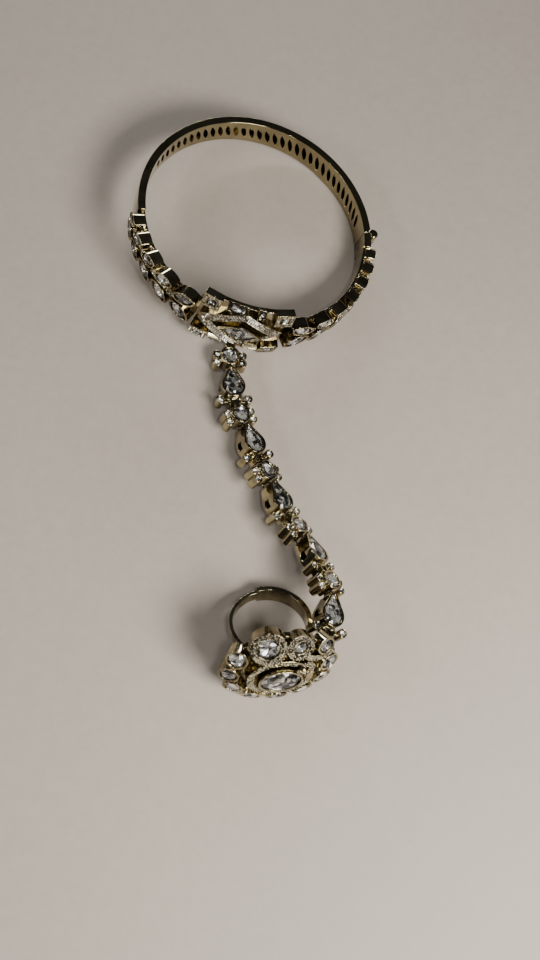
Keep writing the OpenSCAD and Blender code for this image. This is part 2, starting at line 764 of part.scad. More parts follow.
// The ring at each joint takes the mean direction of its two neighbours
module jump_rings() {
    ring_row = [ring_turn, climb_of(LAST), chain_rows[LAST][2] / 2];
    color("gold") for (i = [0:LAST + 1]) {
        before = i == 0 ? [0, 0, 0] : [chain_rows[i - 1][0], climb_of(i - 1), chain_rows[i - 1][2]];
        after = i > LAST ? ring_row : [chain_rows[i][0], climb_of(i), chain_rows[i][2]];
        mean = (before + after) / 2;
        on_chain(i, mean[0], mean[1], mean[2]) rotate([90, 0, 0])
            rotate_extrude($fn = 12) translate([jump_r, 0]) circle(d = jump_wire, $fn = 6);
    }
}

// Places on the finger ring: X across the head, Y along the finger, Z out
module on_ring() {
    translate([chain_end[0] - ring_tab_xy[0], chain_end[1] - ring_tab_xy[1], ring_lift - lift])
        rotate([0, 0, ring_turn]) rotate([90 - ring_lean, 0, 0]) children();
}

module on_dome(k) {
    p = petal_xy(k);
    translate([p[0], p[1], dome_z(p)]) rotate(a = petal_tilt(k), v = [-p[1], p[0], 0]) children();
}

module ellipse(a, b) {
    polygon([for (i = [0:31]) [a * cos(i * 11.25), b * sin(i * 11.25)]]);
}

// Two round ribs side by side on the outside, plain inside
module shank_section() {
    intersection() {
        union() {
            translate([finger_r, -shank_w / 2]) square([shank_t - shank_w / 8, shank_w]);
            for (s = [-1, 1])
                translate([finger_r + shank_t - shank_w / 4, s * shank_w / 4]) circle(r = shank_w / 4);
        }
        translate([finger_r, -shank_w]) square([shank_t + 1, 2 * shank_w]);
    }
}

module shank() {
    rotate([90, 0, 0]) {
        rotate([0, 0, -100]) rotate_extrude(angle = step_az + 100) shank_section();
        rotate([0, 0, step_az - 5]) rotate_extrude(angle = 265 - step_az)
            translate([finger_r, -shank_slim_w / 2]) square([shank_slim_t, shank_slim_w]);
    }
}

module head_centre() {
    translate([0, oval_y, head_plate_z]) {
        difference() {
            linear_extrude(oval_z - head_plate_z) ellipse(oval[0], oval[1]);
            translate([0, 0, 2.4]) linear_extrude(far) ellipse(oval[0] - oval_rib, oval[1] - oval_rib);
        }
        difference() {
            linear_extrude(head_top - head_plate_z) ellipse(centre_w / 2 + 0.55, centre_h / 2 + 0.55);
            translate([0, 0, head_top - head_plate_z - 1.4]) linear_extrude(far) ellipse(centre_w / 2 + 0.1, centre_h / 2 + 0.1);
        }
    }
}

module petal_blocks() {
    for (k = [0:len(petals) - 1])
        on_dome(k) translate([0, 0, -petal_depth])
            cylinder(r = petal_size(k) + (search(k, LOBES) != [] ? lobe_rim : 0), h = petal_depth);
}

module petal_pockets() {
    for (k = [0:len(petals) - 1])
        on_dome(k) translate([0, 0, -petal_pocket]) cylinder(r = petal_size(k) - setting_wall, h = petal_pocket + 1);
}

module ring_body() {
    color("darkgoldenrod") on_ring() difference() {
        union() {
            shank();
            difference() {
                union() {
                    translate([0, 0, head_plate_z]) linear_extrude(head_plate_t) ellipse(head_a * 0.86, head_b * 0.86);
                    head_centre();
                    petal_blocks();
                    ring_tab_block();
                }
                rotate([90, 0, 0]) cylinder(r = finger_room, h = far, center = true);
            }
        }
        petal_pockets();
        ring_tab_cut();
    }
}

// The chain hooks on behind the right edge of the head
module ring_tab_block() {
    translate(ring_tab) translate([-tab_w / 2, -tab_h / 2, link_gap / 2 + tab_back])
        cube([tab_w, tab_h, head_plate_z + 0.4 - ring_tab[2]]);
}

module ring_tab_cut() {
    translate(ring_tab) rotate([0, -90, 0]) rotate([-90, 0, 0]) translate([0, 0, -bar_z]) ring_cut();
}

module ring_centre_stone() {
    color("lightsteelblue") on_ring() translate([0, oval_y, head_top - 1.4 + stone_gap])
        cut_stone(oval_pts(centre_w / 2, centre_h / 2, 14), 2);
}

module ring_stone(k) {
    r = petal_size(k) - setting_wall - stone_gap;
    color("lightsteelblue") on_ring() on_dome(k) translate([0, 0, stone_gap - petal_pocket])
        cut_stone(oval_pts(r, r, 10), petal_pocket + 0.2);
}

module ring_pave() {
    a = oval[0] - oval_rib / 2;
    b = oval[1] - oval_rib / 2;
    around = 2 * PI * sqrt((a * a + b * b) / 2);
    count = floor(around / pave_pitch * 0.96);
    color("gainsboro") on_ring() {
        for (i = [0:count - 1])
            translate([a * cos(i * 360 / count), oval_y + b * sin(i * 360 / count), oval_z + 0.1]) pave_stone();
        for (k = LOBES) {
            r = petal_size(k) + 0.3;
            n = floor(PI * r / pave_pitch);
            on_dome(k) for (i = [0:n]) rotate([0, 0, 180 * i / n]) translate([r, 0, 0.1]) pave_stone();
        }
    }
}

front_frame();
back_band();
hinge_pin();
for (k = [1:LEFT_PAIRS])
    color("lightsteelblue") lie() leaf_stones(-1, k - 1);
for (k = [1:RIGHT_PAIRS])
    color("lightsteelblue") lie() leaf_stones(1, k - 1);
color("lightsteelblue") lie() { bud_stones(-1, LEFT_PAIRS); bud_stones(1, RIGHT_PAIRS); }
color("lightsteelblue") lie() motif_centre_stone();
color("lightgray") lie() baguette_stones();  // motif_baguette_stones
color("lightgray") lie() corner_stones();  // motif_corner_stones
motif_pave();
for (k = [1:LINK_PAIRS]) {
    round_link(2 * k - 2);
    pear_link(2 * k - 1);
    round_stone(2 * k - 2);
    pear_stone(2 * k - 1);
}
link_side_stones();
jump_rings();
ring_body();
ring_centre_stone();
for (k = [1:len(petals)])
    ring_stone(k - 1);
ring_pave();
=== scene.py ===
import json
import math
import random

import bmesh
import bpy
from mathutils import Matrix, Vector
from mathutils.bvhtree import BVHTree


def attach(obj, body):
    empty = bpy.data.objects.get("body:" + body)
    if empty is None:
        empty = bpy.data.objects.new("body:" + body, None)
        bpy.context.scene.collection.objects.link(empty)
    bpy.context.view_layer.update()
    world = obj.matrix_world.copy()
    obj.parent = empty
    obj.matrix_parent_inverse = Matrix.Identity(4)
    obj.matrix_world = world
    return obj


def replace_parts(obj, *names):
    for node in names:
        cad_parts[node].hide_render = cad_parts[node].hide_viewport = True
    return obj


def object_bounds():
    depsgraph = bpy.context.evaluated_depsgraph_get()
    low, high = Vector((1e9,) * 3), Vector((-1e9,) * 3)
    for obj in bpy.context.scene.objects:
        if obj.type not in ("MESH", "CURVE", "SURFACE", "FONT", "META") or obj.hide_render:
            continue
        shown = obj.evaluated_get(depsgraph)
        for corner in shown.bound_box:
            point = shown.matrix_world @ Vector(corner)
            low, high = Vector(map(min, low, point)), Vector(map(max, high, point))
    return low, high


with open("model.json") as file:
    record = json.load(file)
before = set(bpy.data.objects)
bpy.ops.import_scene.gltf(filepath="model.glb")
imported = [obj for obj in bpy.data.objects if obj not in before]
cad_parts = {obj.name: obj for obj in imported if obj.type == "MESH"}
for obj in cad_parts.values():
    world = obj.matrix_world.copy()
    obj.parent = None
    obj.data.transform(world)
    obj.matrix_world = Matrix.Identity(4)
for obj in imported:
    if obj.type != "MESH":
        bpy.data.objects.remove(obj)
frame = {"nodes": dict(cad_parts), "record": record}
nodes = frame["nodes"]
record = frame["record"]
cadBox = [list(corner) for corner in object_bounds()]
mm = 0.001
bodyOf = {node: body for body, members in record["behaviour"]["bodies"].items() for node in members}
slotOf = {part["node"]: part["material_slot"] for part in record["subparts"]}
mounts = {mount["name"]: mount for mount in record["mounts"]}
print("frame loaded:", len(nodes), "nodes")

# the camera stands where the photo was taken from, turned about its own line of sight
cameraView = {
    "eye": (-15.0, -148.2, 243.3),
    "aim": (14.2, -63.1, -8.2),
    "roll": 28.3,
    "lens": 41.25,
    "sensor": 36,
    "near": 10,
}


def makeCamera():
    lens = bpy.data.cameras.new("camera")
    lens.lens = cameraView["lens"]
    lens.sensor_width = cameraView["sensor"]
    lens.clip_start = cameraView["near"] * mm
    camera = bpy.data.objects.new("camera", lens)
    eye = Vector(cameraView["eye"]) * mm
    look = Vector(cameraView["aim"]) * mm - eye
    turn = look.to_track_quat("-Z", "Y").to_matrix().to_4x4()
    turn = turn @ Matrix.Rotation(math.radians(cameraView["roll"]), 4, "Z")
    camera.matrix_world = Matrix.Translation(eye) @ turn
    bpy.context.collection.objects.link(camera)
    bpy.context.scene.camera = camera


makeCamera()
print("camera placed")


# shader maths written as Python: a wire is a socket that can be added, subtracted and multiplied
class Wire:
    def __init__(self, shader, socket):
        self.shader = shader
        self.socket = socket

    def maths(self, operation, first, second):
        return self.shader.add("ShaderNodeMath", {"operation": operation}, {0: first, 1: second})

    def __add__(self, other):
        return self.maths("ADD", self, other)

    __radd__ = __add__

    def __mul__(self, other):
        return self.maths("MULTIPLY", self, other)

    __rmul__ = __mul__

    def __sub__(self, other):
        return self.maths("SUBTRACT", self, other)

    def __rsub__(self, other):
        return self.maths("SUBTRACT", other, self)


class Shader:
    def __init__(self, name):
        self.material = bpy.data.materials.new(name)
        self.material.use_nodes = True
        self.tree = self.material.node_tree
        self.surface = self.tree.nodes["Principled BSDF"]

    # settings come first, then the values or wires of the sockets
    def add(self, kind, settings=None, sockets=None, out=0):
        node = self.tree.nodes.new(kind)
        for key, value in (settings or {}).items():
            if key == "stops":
                ramp = node.color_ramp
                while len(ramp.elements) < len(value):
                    ramp.elements.new(0.5)
                for element, (place, colour) in zip(ramp.elements, value):
                    element.position = place
                    element.color = (*colour, 1)
            else:
                setattr(node, key, value)
        for key, value in (sockets or {}).items():
            self.plug(node.inputs[key], value)
        return Wire(self, node.outputs[out])

    def plug(self, socket, value):
        if isinstance(value, Wire):
            self.tree.links.new(value.socket, socket)
        else:
            socket.default_value = value

    def place(self):
        return self.add("ShaderNodeTexCoord", out="Object")

    def noise(self, scale, detail=3, rough=0.5):
        return self.add("ShaderNodeTexNoise", None,
                        {"Vector": self.place(), "Scale": scale, "Detail": detail, "Roughness": rough})

    def mix(self, share, first, second):
        return self.add("ShaderNodeMix", {"data_type": "RGBA"}, {0: share, 6: first, 7: second}, out=2)

    def ramp(self, share, *stops):
        return self.add("ShaderNodeValToRGB", {"stops": stops}, {"Fac": share})

    # the distance is in millimetres
    def bump(self, height, strength, distance):
        return self.add("ShaderNodeBump", None,
                        {"Height": height, "Strength": strength, "Distance": distance * mm})

    def finish(self, **sockets):
        for name, value in sockets.items():
            self.plug(self.surface.inputs[name.replace("_", " ")], value)
        return self.material


antiqueLook = {
    "light": (0.56, 0.5, 0.31, 1),
    "dark": (0.15, 0.118, 0.072, 1),
    "blotch": 170,
    "worn": ((0.34, (0, 0, 0)), (0.68, (1, 1, 1))),
    "scratch": 2400,
    "rough": 0.14,
    "polish": 0.12,
    "grit": 0.05,
    "bump": (0.05, 0.02),
}


# dark antique gold: lighter and smoother where it is rubbed, brown and duller in patches
def antiqueGold(look):
    shader = Shader("antiqueGold")
    patches = shader.noise(look["blotch"], detail=4, rough=0.6)
    wear = shader.ramp(patches, *look["worn"])
    colour = shader.mix(wear, look["dark"], look["light"])
    fine = shader.noise(look["scratch"], detail=2)
    rough = look["rough"] - patches * look["polish"] + fine * look["grit"]
    return shader.finish(
        Base_Color=colour, Metallic=1.0, Roughness=rough, Normal=shader.bump(fine, *look["bump"]))


polishedLook = {
    "light": (0.5, 0.44, 0.265, 1),
    "dark": (0.16, 0.125, 0.065, 1),
    "blotch": 180,
    "streak": 1500,
    "rough": 0.05,
    "grit": 0.07,
    "bump": (0.04, 0.02),
}


def polishedGold(look):
    shader = Shader("polishedGold")
    colour = shader.mix(shader.noise(look["blotch"]), look["dark"], look["light"])
    streaks = shader.noise(look["streak"], detail=2)
    return shader.finish(
        Base_Color=colour, Metallic=1.0, Roughness=look["rough"] + streaks * look["grit"],
        Normal=shader.bump(streaks, *look["bump"]))


crownLook = {
    "tint": (0.97, 0.97, 0.97, 1),
    "ior": 1.54,
    "scratch": 1800,
    "rough": 0.01,
    "grit": 0.05,
    "bump": (0.03, 0.02),
}


# the clear top of a stone
def crownGlass(look):
    shader = Shader("crownGlass")
    scratches = shader.noise(look["scratch"], detail=2)
    return shader.finish(
        Base_Color=look["tint"], IOR=look["ior"], Transmission_Weight=1.0,
        Roughness=look["rough"] + scratches * look["grit"],
        Normal=shader.bump(scratches, *look["bump"]))


foilLook = {
    "cloud": 900,
    "paintedGlintScale": 1100,
    "unevenness": 0.9,
    "paintedGlintShare": 0.75,
    "cloudShare": 0.3,
    # the dark and white tones are painted shade and painted glints on the foil's facets
    "tones": ((0.35, (0.05, 0.05, 0.047)), (0.485, (0.33, 0.325, 0.31)), (0.65, (0.92, 0.905, 0.87))),
    "metallic": 0.75,
    "rough": 0.06,
    "grit": 0.14,
}


# the silver foil behind it, tarnished in specks, and painted in panes with glints near white and shade
# near black, standing in for its facets catching or missing the light
def stoneFoil(look):
    shader = Shader("stoneFoil")
    cloud = shader.noise(look["cloud"])
    # panes of painted glint and painted shade over the foil
    paintedGlintPanes = shader.add(
        "ShaderNodeTexVoronoi", {"feature": "F1"},
        {"Vector": shader.place(), "Scale": look["paintedGlintScale"], "Randomness": look["unevenness"]}, out=1)
    tone = shader.ramp(paintedGlintPanes * look["paintedGlintShare"] + cloud * look["cloudShare"], *look["tones"])
    return shader.finish(
        Base_Color=tone, Metallic=look["metallic"], Roughness=look["rough"] + cloud * look["grit"])


paveLook = {
    "speck": 1400,
    "tones": ((0.45, (0.05, 0.04, 0.025)), (0.64, (0.5, 0.46, 0.375))),
    "metallic": 0.5,
    "rough": 0.06,
    "grit": 0.12,
}


def paveGlass(look):
    shader = Shader("paveGlass")
    specks = shader.noise(look["speck"], detail=2)
    return shader.finish(
        Base_Color=shader.ramp(specks, *look["tones"]), Metallic=look["metallic"],
        Roughness=look["rough"] + specks * look["grit"], Coat_Weight=1.0)


floorLook = {
    "light": (0.385, 0.336, 0.284, 1),
    "dark": (0.285, 0.248, 0.208, 1),
    "cloud": 14,
    "cloudShare": 0.3,
    "grain": 420,
    "grainShare": 0.7,
    "rough": 0.55,
    "grit": 0.2,
    "bump": (0.15, 0.1),
}


def paleFloor(look):
    shader = Shader("paleFloor")
    cloud = shader.noise(look["cloud"], detail=4)
    grain = shader.noise(look["grain"], detail=4, rough=0.7)
    share = cloud * look["cloudShare"] + grain * look["grainShare"]
    return shader.finish(
        Base_Color=shader.mix(share, look["dark"], look["light"]),
        Roughness=look["rough"] + grain * look["grit"], Normal=shader.bump(grain, *look["bump"]))


finishes = {
    "antique_gold": antiqueGold(antiqueLook),
    "polished_gold": polishedGold(polishedLook),
    "crown": crownGlass(crownLook),
    "foil": stoneFoil(foilLook),
    "pave_stone": paveGlass(paveLook),
    "floor": paleFloor(floorLook),
}
print("materials made:", ", ".join(finishes))


def makeObject(name, mesh, *materials):
    for material in materials:
        mesh.materials.append(material)
    made = bpy.data.objects.new(name, mesh)
    bpy.context.collection.objects.link(made)
    return made


# turns an object's modifiers into a plain mesh
def applied(made):
    seen = made.evaluated_get(bpy.context.evaluated_depsgraph_get())
    mesh = bpy.data.meshes.new_from_object(seen)
    made.modifiers.clear()
    made.data = mesh
    return made


weldGap = 0.002 * mm


# a CAD mesh is loose triangles, so its corners are joined first
def weldedMesh(node):
    shape = bmesh.new()
    shape.from_mesh(nodes[node].data)
    bmesh.ops.remove_doubles(shape, verts=shape.verts, dist=weldGap)
    return shape


def meshOf(name, shape):
    mesh = bpy.data.meshes.new(name)
    shape.to_mesh(mesh)
    shape.free()
    return mesh


def carry(made, node):
    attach(made, bodyOf[node])
    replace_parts(made, node)


# metal: soft edges that catch the light, on every edge that turns more than "turn" degrees
metal = {
    "edges": {"front_frame": 0.08, "back_band": 0.1, "hinge_pin": 0.1, "ring_body": 0.1, "link": 0.13},
    "turn": 33,
    "flat": 0.5,
    "steps": 2,
    "evenness": 100,
    "wireRounds": 2,
}


def smoothPiece(node, name, shape):
    mesh = meshOf(name, shape)
    mesh.polygons.foreach_set("use_smooth", [True] * len(mesh.polygons))
    return makeObject(name, mesh, finishes[slotOf[node]])


def metalPiece(node, width):
    shape = weldedMesh(node)
    flat = math.radians(metal["flat"])
    bmesh.ops.dissolve_limit(shape, angle_limit=flat, verts=shape.verts, edges=shape.edges)
    made = smoothPiece(node, node + "_metal", shape)
    bevel = made.modifiers.new("edges", "BEVEL")
    bevel.limit_method = "ANGLE"
    bevel.angle_limit = math.radians(metal["turn"])
    bevel.width = width * mm
    bevel.segments = metal["steps"]
    bevel.use_clamp_overlap = False
    even = made.modifiers.new("even", "WEIGHTED_NORMAL")
    even.weight = metal["evenness"]
    carry(applied(made), node)


def roundWire(node):
    made = smoothPiece(node, node + "_round", weldedMesh(node))
    smooth = made.modifiers.new("round", "SUBSURF")
    smooth.levels = metal["wireRounds"]
    smooth.render_levels = metal["wireRounds"]
    carry(applied(made), node)


for node in ("front_frame", "back_band", "hinge_pin", "ring_body"):
    metalPiece(node, metal["edges"][node])
for node in sorted(name for name in nodes if "_link_" in name):
    metalPiece(node, metal["edges"]["link"])
roundWire("jump_rings")
print("metal done")


# cut stones: each CAD stone gives its outline, and gets a facetted crown over a foiled back
stoneCut = {
    "rimBand": 0.1,
    "breakShare": 0.8,
    "breakHeight": 0.62,
    "breakWobble": 0.04,
    "tableShare": 0.52,
    "backShare": 0.52,
    "backHeight": 0.42,
    "backWobble": 0.1,
    "culetDepth": 0.9,
    "seedStep": 31,
}


def islands(shape):
    left = set(shape.verts)
    while left:
        start = min(left, key=lambda vert: vert.index)
        group, queue = {start}, [start]
        while queue:
            for edge in queue.pop().link_edges:
                for vert in edge.verts:
                    if vert not in group:
                        group.add(vert)
                        queue.append(vert)
        left -= group
        yield sorted(group, key=lambda vert: vert.index)


# a stone's rim points in turn, their middle, the way it faces, and its depth and height from there
def outlineOf(group):
    areas = {}
    for face in dict.fromkeys(face for vert in group for face in vert.link_faces):
        key = tuple(round(part, 2) for part in face.normal)
        area, normal = areas.get(key, (0, Vector()))
        areas[key] = (area + face.calc_area(), normal + face.normal * face.calc_area())
    up = -max(areas.values(), key=lambda entry: entry[0])[1].normalized()  # the back is the widest side
    heights = [vert.co.dot(up) for vert in group]
    low, high = min(heights), max(heights)
    band = stoneCut["rimBand"] * (high - low)
    rim = [vert.co for vert, height in zip(group, heights) if low + band < height < high - band]
    middle = sum(rim, Vector()) / len(rim)
    across = up.orthogonal().normalized()
    along = up.cross(across)
    rim.sort(key=lambda point: math.atan2((point - middle).dot(along), (point - middle).dot(across)))
    waist = middle.dot(up)
    return rim, middle, up, waist - low, high - waist


def cutStone(shape, rng, outline):
    rim, middle, up, depth, height = outline
    turned = [(here + there) / 2 for here, there in zip(rim, rim[1:] + rim[:1])]

    # each point draws once, also where nothing wobbles
    def ring(points, share, lift, wobble=0.0):
        made = []
        for point in points:
            grow = share * (1 + rng.uniform(-wobble, wobble))
            made.append(shape.verts.new(middle + (point - middle) * grow + up * lift))
        return made

    girdle = ring(rim, 1, 0)
    brow = ring(turned, stoneCut["breakShare"], height * stoneCut["breakHeight"], stoneCut["breakWobble"])
    table = ring(rim, stoneCut["tableShare"], height)
    back = ring(turned, stoneCut["backShare"], -depth * stoneCut["backHeight"], stoneCut["backWobble"])
    culet = shape.verts.new(middle - up * depth * stoneCut["culetDepth"])
    for i in range(len(rim)):
        j = (i + 1) % len(rim)
        crown = [(girdle[i], girdle[j], brow[i]), (brow[i], girdle[j], brow[j]),
                 (brow[i], brow[j], table[j]), (table[i], brow[i], table[j])]
        foil = [(girdle[j], girdle[i], back[i]), (back[j], girdle[j], back[i]),
                (back[j], back[i], culet)]
        for index, facets in enumerate((crown, foil)):
            for corners in facets:
                shape.faces.new(corners).material_index = index
    shape.faces.new(table).material_index = 0


def cutStones(node):
    source = weldedMesh(node)
    source.normal_update()
    shape = bmesh.new()
    rng = random.Random(len(node) * stoneCut["seedStep"] + ord(node[-1]))
    for group in islands(source):
        cutStone(shape, rng, outlineOf(group))
    source.free()
    name = node + "_cut"
    carry(makeObject(name, meshOf(name, shape), finishes["crown"], finishes["foil"]), node)


for node in sorted(nodes):
    if slotOf[node] == "kundan_stone":
        cutStones(node)
print("stones cut")


# a geometry node tree with named inputs, which sets small parts on the points of a mesh
class PartsTree:
    def __init__(self, name, **inputs):
        self.tree = bpy.data.node_groups.new(name, "GeometryNodeTree")
        self.identifiers = {}
        for way in ("INPUT", "OUTPUT"):
            self.tree.interface.new_socket("Geometry", in_out=way, socket_type="NodeSocketGeometry")
        for key, value in inputs.items():
            kind = "NodeSocketInt" if isinstance(value, int) else "NodeSocketFloat"
            socket = self.tree.interface.new_socket(key, in_out="INPUT", socket_type=kind)
            socket.default_value = value
            self.identifiers[key] = socket.identifier
        self.given = self.tree.nodes.new("NodeGroupInput").outputs

    # a list gives a socket several links
    def add(self, kind, settings=None, sockets=None, out=0):
        node = self.tree.nodes.new(kind)
        for key, value in (settings or {}).items():
            setattr(node, key, value)
        for key, value in (sockets or {}).items():
            for entry in value if isinstance(value, list) else [value]:
                if isinstance(entry, bpy.types.NodeSocket):
                    self.tree.links.new(entry, node.inputs[key])
                else:
                    node.inputs[key].default_value = entry
        return node.outputs[out]

    def maths(self, operation, first, second):
        return self.add("ShaderNodeMath", {"operation": operation}, {0: first, 1: second})

    def sizes(self, least, most):
        return self.add("FunctionNodeRandomValue", {"data_type": "FLOAT"},
                        {2: least, 3: most, "Seed": self.given["Seed"]}, out=1)

    # one copy on each point, made real and given its finish
    def copies(self, finish, **sockets):
        copies = self.add("GeometryNodeInstanceOnPoints", None, sockets)
        real = self.add("GeometryNodeRealizeInstances", None, {"Geometry": copies})
        return self.add("GeometryNodeSetMaterial", None, {"Geometry": real, "Material": finish})

    def end(self, geometry):
        self.tree.links.new(geometry, self.tree.nodes.new("NodeGroupOutput").inputs[0])
        return self

    # the inputs are set by identifier, before the object is first evaluated
    def run(self, made, **values):
        modifier = made.modifiers.new(self.tree.name, "NODES")
        modifier.node_group = self.tree
        for key, value in values.items():
            modifier[self.identifiers[key]] = value
        return applied(made)


# pave: rows of small stones with grains between them, along paths that lie on the metal
pave = {
    "stone": 0.56,
    "pitch": 0.68,
    "grain": 0.1,
    "reach": 0.34,
    "sides": 8,
    "tableShare": 0.55,
    "tall": 0.7,
    "sizes": (0.9, 1.08),
    "grainRounds": 2,
    "seed": 3,
}


def paveTree():
    tree = PartsTree("pave", Pitch=1 * mm, Stone=0.8 * mm, Grain=0.15 * mm, Reach=0.5 * mm, Seed=0)
    given = tree.given
    curve = tree.add("GeometryNodeMeshToCurve", None, {"Mesh": given["Geometry"]})
    points = tree.add("GeometryNodeResampleCurve", {"mode": "LENGTH"},
                      {"Curve": curve, "Length": tree.maths("MULTIPLY", given["Pitch"], 0.5)})
    up = tree.add("GeometryNodeInputNamedAttribute", {"data_type": "FLOAT_VECTOR"}, {"Name": "up"})
    along = tree.add("GeometryNodeInputTangent")
    facing = tree.add("FunctionNodeAlignRotationToVector", {"axis": "Z"}, {"Vector": up})
    turned = tree.add("FunctionNodeAlignRotationToVector", {"axis": "X", "pivot_axis": "Z"},
                      {"Rotation": facing, "Vector": along})
    odd = tree.maths("MODULO", tree.add("GeometryNodeInputIndex"), 2.0)
    even = tree.maths("SUBTRACT", 1.0, odd)
    size = tree.sizes(*pave["sizes"])

    across = tree.maths("MULTIPLY", given["Stone"], 0.5)
    gem = tree.add("GeometryNodeMeshCone", {"fill_type": "NGON"}, {
        "Vertices": pave["sides"], "Side Segments": 1, "Radius Bottom": across,
        "Radius Top": tree.maths("MULTIPLY", across, pave["tableShare"]),
        "Depth": tree.maths("MULTIPLY", across, pave["tall"])})
    parts = [tree.copies(finishes["pave_stone"], Points=points, Selection=even, Instance=gem,
                         Rotation=turned, Scale=size)]

    side = tree.add("ShaderNodeVectorMath", {"operation": "CROSS_PRODUCT"}, {0: up, 1: along})
    bead = tree.add("GeometryNodeMeshIcoSphere", None,
                    {"Radius": given["Grain"], "Subdivisions": pave["grainRounds"]})
    for way in (-1, 1):
        reach = tree.maths("MULTIPLY", given["Reach"], way)
        offset = tree.add("ShaderNodeVectorMath", {"operation": "SCALE"}, {0: side, "Scale": reach})
        moved = tree.add("GeometryNodeSetPosition", None, {"Geometry": points, "Offset": offset})
        parts.append(tree.copies(finishes["antique_gold"], Points=moved, Selection=odd, Instance=bead,
                                 Scale=size))
    return tree.end(tree.add("GeometryNodeJoinGeometry", None, {"Geometry": parts}))


paveNodes = paveTree()


# each path is a list of (point, up) pairs and whether it closes
def paveRow(name, paths):
    mesh = bpy.data.meshes.new(name)
    points, edges, ups = [], [], []
    for path, closed in paths:
        start = len(points)
        for point, up in path:
            points.append(point)
            ups.extend(up)
        edges += [(start + i, start + i + 1) for i in range(len(path) - 1)]
        if closed:
            edges.append((len(points) - 1, start))
    mesh.from_pydata(points, edges, [])
    mesh.attributes.new("up", "FLOAT_VECTOR", "POINT").data.foreach_set("vector", ups)
    made = paveNodes.run(
        makeObject(name, mesh), Pitch=pave["pitch"] * mm, Stone=pave["stone"] * mm,
        Grain=pave["grain"] * mm, Reach=pave["reach"] * mm, Seed=pave["seed"])
    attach(made, "front")
    return made


# a flat strip along each open path, as wide and deep as given
def strips(name, paths, wide, deep):
    shape = bmesh.new()
    for path, _ in paths:
        sections = []
        for i, (point, up) in enumerate(path):
            before, after = path[max(i - 1, 0)][0], path[min(i + 1, len(path) - 1)][0]
            side = up.cross(after - before).normalized() * wide * mm / 2
            down = up * deep * mm
            corners = (side, -side, -side - down, side - down)
            sections.append([shape.verts.new(point + corner) for corner in corners])
        for here, there in zip(sections, sections[1:]):
            for k in range(4):
                shape.faces.new((here[k], here[k - 3], there[k - 3], there[k]))
        shape.faces.new(sections[0])
        shape.faces.new(sections[-1])
    bmesh.ops.recalc_face_normals(shape, faces=shape.faces)
    made = makeObject(name, meshOf(name, shape), finishes["antique_gold"])
    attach(made, "front")


# where the bangle and the finger ring lie, from the axes of their openings
wristAxis = Vector(mounts["wrist_opening"]["axis"])
bangleTurn = (Matrix.Rotation(math.atan2(wristAxis.x, wristAxis.z), 4, "Y")
              @ Matrix.Rotation(-math.asin(wristAxis.y), 4, "X"))
fingerAxis = -Vector(mounts["finger_opening"]["axis"])
ringRight = Vector((fingerAxis.y, -fingerAxis.x, 0)).normalized()
ringTurn = Matrix((ringRight, fingerAxis, ringRight.cross(fingerAxis))).transposed().to_4x4()
ringPlace = Matrix.Translation(mounts["finger_opening"]["pos_m"]) @ ringTurn


def upOf(place):
    return place.to_3x3() @ Vector((0, 0, 1))


# a place on the bangle: X along the band, Y up, Z straight out
def onBand(angle, height, radius):
    turn = Matrix.Rotation(math.radians(angle + 90), 4, "Z")
    turn = turn @ Matrix.Translation((0, -radius * mm, height * mm))
    return bangleTurn @ turn @ Matrix.Rotation(math.radians(90), 4, "X")


motif = {
    "halfWide": 10.2,
    "halfHigh": 6.6,
    "radius": 30.93,
    "reach": 10.3,
    "steps": 8,
    "inner": (0.42, 1.07),
    "outer": (-0.24, -0.88),
    "border": {"inset": -0.6, "wide": 1.4, "deep": 2.2},
}


# sides of the lozenge from its right corner, upper ones first
def motifPath(inset, sides):
    wide, high, steps = motif["halfWide"], motif["halfHigh"], motif["steps"]
    corners = [(1, 0), (0, 1), (-1, 0), (0, -1)]
    share = 1 - inset * math.hypot(wide, high) / (wide * high)
    path = []
    for k in range(sides):
        here, there = corners[k], corners[(k + 1) % 4]
        for i in range(steps):
            x = (here[0] + (there[0] - here[0]) * i / steps) * wide * share
            y = (here[1] + (there[1] - here[1]) * i / steps) * high * share
            if abs(x) > motif["reach"]:
                continue
            place = onBand(-90 + math.degrees(math.asin(x / motif["radius"])), y, motif["radius"])
            path.append((place.translation, upOf(place)))
    return path, sides == 4


border = motif["border"]
strips("motif_border", [motifPath(border["inset"], 3)], border["wide"], border["deep"])
closedRows = [motifPath(inset, 4) for inset in motif["inner"]]
openRows = [motifPath(inset, 3) for inset in motif["outer"]]
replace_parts(paveRow("motif_pave_rows", closedRows + openRows), "motif_pave")

cornerBox = {
    "halfWide": 1.77,
    "halfHigh": 1.54,
    "radius": 31.22,
    "turn": 17,
    "rows": (7.75, -7.0),
    "tilt": 10,
}


def cornerPaths():
    wide, high = cornerBox["halfWide"], cornerBox["halfHigh"]
    corners = [(wide, -high), (wide, high), (-wide, high), (-wide, -high)]
    paths = []
    for side in (-1, 1):
        for row in cornerBox["rows"]:
            tilt = Matrix.Rotation(math.radians(-math.copysign(cornerBox["tilt"], row)), 4, "X")
            place = onBand(-90 + side * cornerBox["turn"], row, cornerBox["radius"]) @ tilt
            up = upOf(place)
            paths.append(([(place @ (Vector((x, y, 0)) * mm), up) for x, y in corners], True))
    return paths


paveRow("corner_pave_rows", cornerPaths())

# the ring's domed head: an arc round the oval cup, and full rings round the cups of its lobes
ringHead = {
    "top": 14.6,
    "radius": 24.0,
    "oval": {"halfWide": 7.5, "halfHigh": 6.0, "insets": (0.38, 1.02), "rise": 13.42, "shift": -1.2,
             "arc": (60, 335), "steps": 40},
    "lobe": {"places": ((-0.24, 0.74, 0.25), (0.28, 0.7, 0.17)), "halfWide": 13.7, "halfHigh": 12.2,
             "rings": (0.02, 0.7), "rise": 0.02, "steps": 24},
}


